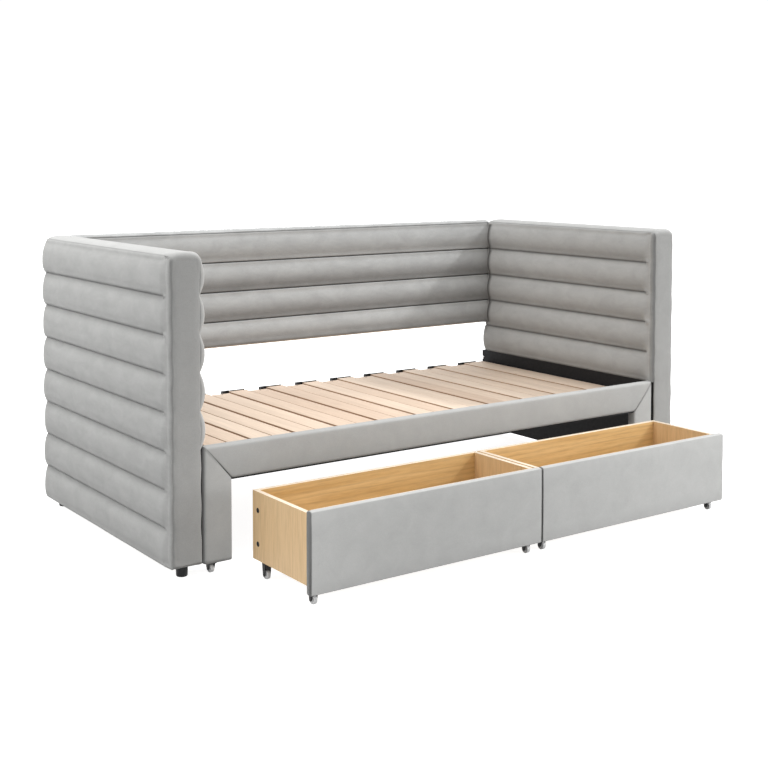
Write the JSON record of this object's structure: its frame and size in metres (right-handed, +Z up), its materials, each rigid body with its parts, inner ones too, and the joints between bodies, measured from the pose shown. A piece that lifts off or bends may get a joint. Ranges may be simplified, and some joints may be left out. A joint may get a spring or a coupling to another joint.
{
  "type": "extendable trundle daybed",
  "caption": "Upholstered daybed with channelled arms and back, interleaved slats on a pull-out front frame, and two rolling storage drawers beneath.",
  "frame": {"origin": "centre of the bed's footprint on the floor, drawers as pulled out at rest", "axes": "+X to the sleeper's right arm seen from the front, +Y from the front to the backrest, +Z up"},
  "size_m": [2.166, 1.454, 0.97],
  "materials": {
    "velvet": "light warm grey brushed velvet",
    "panel_wood": "raw plywood, hidden in the covers",
    "slat_wood": "pale birch, satin",
    "drawer_wood": "honey oak veneer, satin",
    "black_board": "black laminate, satin",
    "black_steel": "black powder coat",
    "black_plastic": "moulded black nylon",
    "wheel_plastic": "light grey wheel plastic",
    "bolt_zinc": "bright zinc"
  },
  "bodies": {
    "bed_base": {"left_arm_panel": "panel_wood", "left_arm_upholstery": "velvet", "left_side_board": "black_board", "left_side_bolt": "bolt_zinc", "left_front_foot": "black_plastic", "left_rear_foot": "black_plastic", "left_beam_hanger": "black_steel", "right_arm_panel": "panel_wood", "right_arm_upholstery": "velvet", "right_side_board": "black_board", "right_side_bolt": "bolt_zinc", "right_front_foot": "black_plastic", "right_rear_foot": "black_plastic", "right_beam_hanger": "black_steel", "backrest_panel": "panel_wood", "backrest_upholstery": "velvet", "rear_rail": "black_board", "support_beam": "black_steel", "slat_guide_rail": "black_plastic", "fixed_slats_left": "slat_wood", "fixed_slats_middle": "slat_wood", "fixed_slats_right": "slat_wood"},
    "front_frame": {"sliding_slats_left": "slat_wood", "sliding_slats_middle": "slat_wood", "sliding_slats_right": "slat_wood", "front_rail": "velvet", "front_left_leg": "velvet", "front_right_leg": "velvet", "front_rail_angle": "black_steel", "slat_ledger": "slat_wood", "left_leg_fork": "black_plastic", "right_leg_fork": "black_plastic"},
    "left_leg_wheel": {"left_leg_wheel": "wheel_plastic"},
    "right_leg_wheel": {"right_leg_wheel": "wheel_plastic"},
    "left_drawer": {"left_drawer_front": "velvet", "left_drawer_left_side": "drawer_wood", "left_drawer_right_side": "drawer_wood", "left_drawer_back": "drawer_wood", "left_drawer_base": "drawer_wood", "left_drawer_front_left_fork": "black_plastic", "left_drawer_front_right_fork": "black_plastic", "left_drawer_rear_left_fork": "black_plastic", "left_drawer_rear_right_fork": "black_plastic"},
    "left_drawer_front_left_wheel": {"left_drawer_front_left_wheel": "wheel_plastic"},
    "left_drawer_front_right_wheel": {"left_drawer_front_right_wheel": "wheel_plastic"},
    "left_drawer_rear_left_wheel": {"left_drawer_rear_left_wheel": "wheel_plastic"},
    "left_drawer_rear_right_wheel": {"left_drawer_rear_right_wheel": "wheel_plastic"},
    "right_drawer": {"right_drawer_front": "velvet", "right_drawer_left_side": "drawer_wood", "right_drawer_right_side": "drawer_wood", "right_drawer_back": "drawer_wood", "right_drawer_base": "drawer_wood", "right_drawer_front_left_fork": "black_plastic", "right_drawer_front_right_fork": "black_plastic", "right_drawer_rear_left_fork": "black_plastic", "right_drawer_rear_right_fork": "black_plastic"},
    "right_drawer_front_left_wheel": {"right_drawer_front_left_wheel": "wheel_plastic"},
    "right_drawer_front_right_wheel": {"right_drawer_front_right_wheel": "wheel_plastic"},
    "right_drawer_rear_left_wheel": {"right_drawer_rear_left_wheel": "wheel_plastic"},
    "right_drawer_rear_right_wheel": {"right_drawer_rear_right_wheel": "wheel_plastic"}
  },
  "joints": [
    {"name": "front_frame_slide", "type": "slide", "parent": "bed_base", "child": "front_frame", "axis": [0, -1, 0], "range_m": [0, 0.86]},
    {"name": "left_leg_wheel_roll", "type": "hinge", "parent": "front_frame", "child": "left_leg_wheel", "pos_m": [-0.935, -0.28, 0.013], "axis": [1, 0, 0], "continuous": true},
    {"name": "right_leg_wheel_roll", "type": "hinge", "parent": "front_frame", "child": "right_leg_wheel", "pos_m": [0.935, -0.28, 0.013], "axis": [1, 0, 0], "continuous": true},
    {"name": "left_drawer_slide", "type": "slide", "parent": "bed_base", "child": "left_drawer", "axis": [0, -1, 0], "range_m": [-0.429, 0.171]},
    {"name": "left_drawer_front_left_wheel_roll", "type": "hinge", "parent": "left_drawer", "child": "left_drawer_front_left_wheel", "pos_m": [-0.828, -0.689, 0.014], "axis": [1, 0, 0], "continuous": true},
    {"name": "left_drawer_front_right_wheel_roll", "type": "hinge", "parent": "left_drawer", "child": "left_drawer_front_right_wheel", "pos_m": [-0.0335, -0.689, 0.014], "axis": [1, 0, 0], "continuous": true},
    {"name": "left_drawer_rear_left_wheel_roll", "type": "hinge", "parent": "left_drawer", "child": "left_drawer_rear_left_wheel", "pos_m": [-0.828, -0.432, 0.014], "axis": [1, 0, 0], "continuous": true},
    {"name": "left_drawer_rear_right_wheel_roll", "type": "hinge", "parent": "left_drawer", "child": "left_drawer_rear_right_wheel", "pos_m": [-0.0335, -0.432, 0.014], "axis": [1, 0, 0], "continuous": true},
    {"name": "right_drawer_slide", "type": "slide", "parent": "bed_base", "child": "right_drawer", "axis": [0, -1, 0], "range_m": [-0.429, 0.171]},
    {"name": "right_drawer_front_left_wheel_roll", "type": "hinge", "parent": "right_drawer", "child": "right_drawer_front_left_wheel", "pos_m": [0.0335, -0.689, 0.014], "axis": [1, 0, 0], "continuous": true},
    {"name": "right_drawer_front_right_wheel_roll", "type": "hinge", "parent": "right_drawer", "child": "right_drawer_front_right_wheel", "pos_m": [0.828, -0.689, 0.014], "axis": [1, 0, 0], "continuous": true},
    {"name": "right_drawer_rear_left_wheel_roll", "type": "hinge", "parent": "right_drawer", "child": "right_drawer_rear_left_wheel", "pos_m": [0.0335, -0.432, 0.014], "axis": [1, 0, 0], "continuous": true},
    {"name": "right_drawer_rear_right_wheel_roll", "type": "hinge", "parent": "right_drawer", "child": "right_drawer_rear_right_wheel", "pos_m": [0.828, -0.432, 0.014], "axis": [1, 0, 0], "continuous": true}
  ],
  "couplings": [
    {"joint": "left_leg_wheel_roll", "follows": "front_frame_slide", "rad_per_m": 76.923},
    {"joint": "right_leg_wheel_roll", "follows": "front_frame_slide", "rad_per_m": 76.923},
    {"joint": "left_drawer_front_left_wheel_roll", "follows": "left_drawer_slide", "rad_per_m": 71.429},
    {"joint": "left_drawer_front_right_wheel_roll", "follows": "left_drawer_slide", "rad_per_m": 71.429},
    {"joint": "left_drawer_rear_left_wheel_roll", "follows": "left_drawer_slide", "rad_per_m": 71.429},
    {"joint": "left_drawer_rear_right_wheel_roll", "follows": "left_drawer_slide", "rad_per_m": 71.429},
    {"joint": "right_drawer_front_left_wheel_roll", "follows": "right_drawer_slide", "rad_per_m": 71.429},
    {"joint": "right_drawer_front_right_wheel_roll", "follows": "right_drawer_slide", "rad_per_m": 71.429},
    {"joint": "right_drawer_rear_left_wheel_roll", "follows": "right_drawer_slide", "rad_per_m": 71.429},
    {"joint": "right_drawer_rear_right_wheel_roll", "follows": "right_drawer_slide", "rad_per_m": 71.429}
  ]
}
